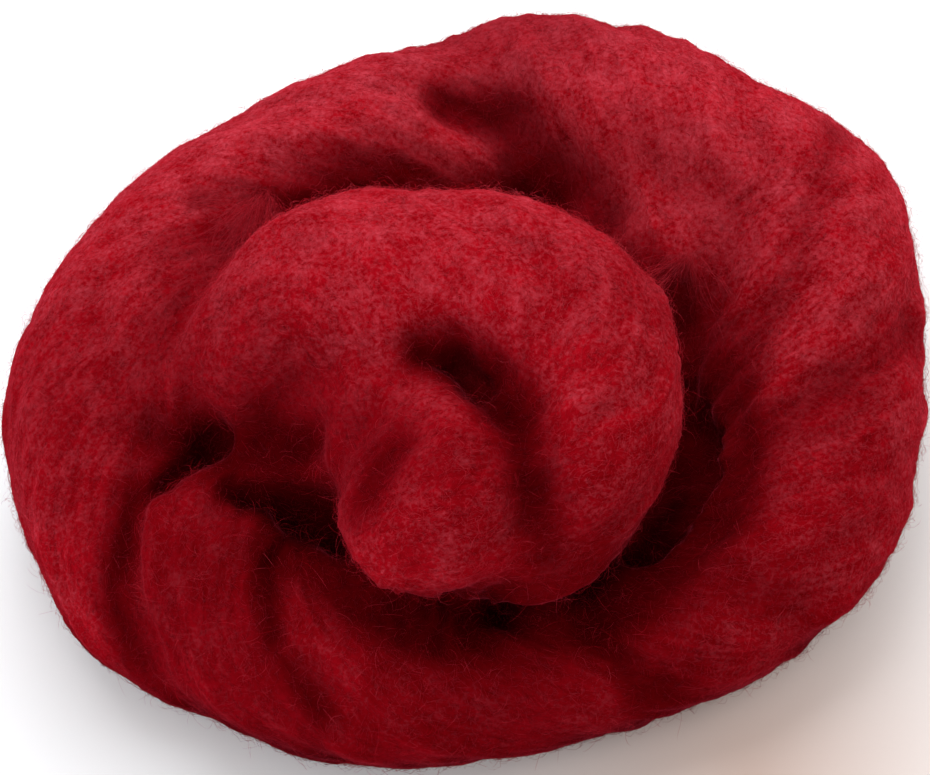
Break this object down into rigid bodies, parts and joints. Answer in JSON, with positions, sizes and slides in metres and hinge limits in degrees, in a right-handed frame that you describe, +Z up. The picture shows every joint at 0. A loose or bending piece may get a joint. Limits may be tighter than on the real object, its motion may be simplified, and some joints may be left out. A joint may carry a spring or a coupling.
{
  "type": "wool roving",
  "caption": "Loose nest of thick combed wool, wound in a ring with its inner end curled up as a raised crown; lies flat on a table.",
  "frame": {"origin": "middle of the flat underside, on the surface the nest rests on", "axes": "+X to the right as pictured, +Y away from the viewer, +Z up"},
  "size_m": [0.163, 0.149, 0.065],
  "materials": {
    "crimson_wool": "matt, fuzzy, soft sheen"
  },
  "bodies": {
    "root": {"roving": "crimson_wool"}
  },
  "joints": []
}
